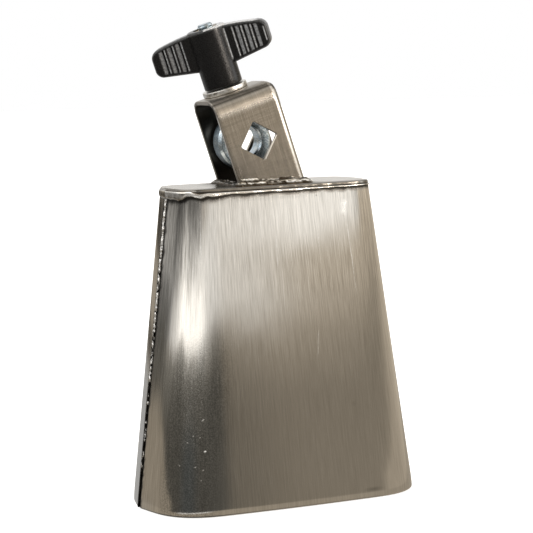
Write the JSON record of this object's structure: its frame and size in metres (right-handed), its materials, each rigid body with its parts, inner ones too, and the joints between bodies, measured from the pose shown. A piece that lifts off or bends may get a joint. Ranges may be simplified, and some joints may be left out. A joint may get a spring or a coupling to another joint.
{
  "type": "cowbell",
  "caption": "Small brushed steel cowbell of welded halves under a cap plate, with a strap clamp, eye bolt and plastic wing nut that grip a mounting rod.",
  "frame": {"origin": "centre of the bell's mouth, in the plane of the mouth rim", "axes": "+Z from the mouth up to the clamp, +X along the wide side (the clamp leans to -X), -Y towards the front face"},
  "size_m": [0.1064, 0.0574, 0.1737],
  "materials": {
    "bell_steel": "brushed vertically, warm grey",
    "strap_steel": "brushed, warm grey",
    "weld_metal": "lumpy weld, partly ground",
    "zinc_plate": "bright zinc, bluish",
    "washer_steel": "bright plated",
    "black_plastic": "moulded black, soft sheen",
    "insert_brass": "turned"
  },
  "bodies": {
    "bell": {"front_shell": "bell_steel", "rear_shell": "bell_steel", "top_plate": "bell_steel", "left_seam_weld": "weld_metal", "right_seam_weld": "weld_metal", "top_seam_weld": "weld_metal", "clamp_bracket": "strap_steel", "bracket_front_weld": "weld_metal", "bracket_rear_weld": "weld_metal", "flat_washer": "washer_steel"},
    "wing_nut": {"wing_nut": "black_plastic", "threaded_insert": "insert_brass"},
    "eye_bolt": {"eye_bolt": "zinc_plate"}
  },
  "joints": [
    {"name": "wing_nut_turn", "type": "hinge", "parent": "bell", "child": "wing_nut", "pos_m": [-0.01559, 0.003, 0.15687], "axis": [-0.2957, 0, 0.9553], "range_deg": [-2160, 1800]},
    {"name": "eye_bolt_lift", "type": "slide", "parent": "bell", "child": "eye_bolt", "axis": [-0.2957, 0, 0.9553], "range_m": [-0.00505, 0.00605]}
  ],
  "couplings": [
    {"joint": "eye_bolt_lift", "follows": "wing_nut_turn", "m_per_rad": -0.00015915}
  ]
}
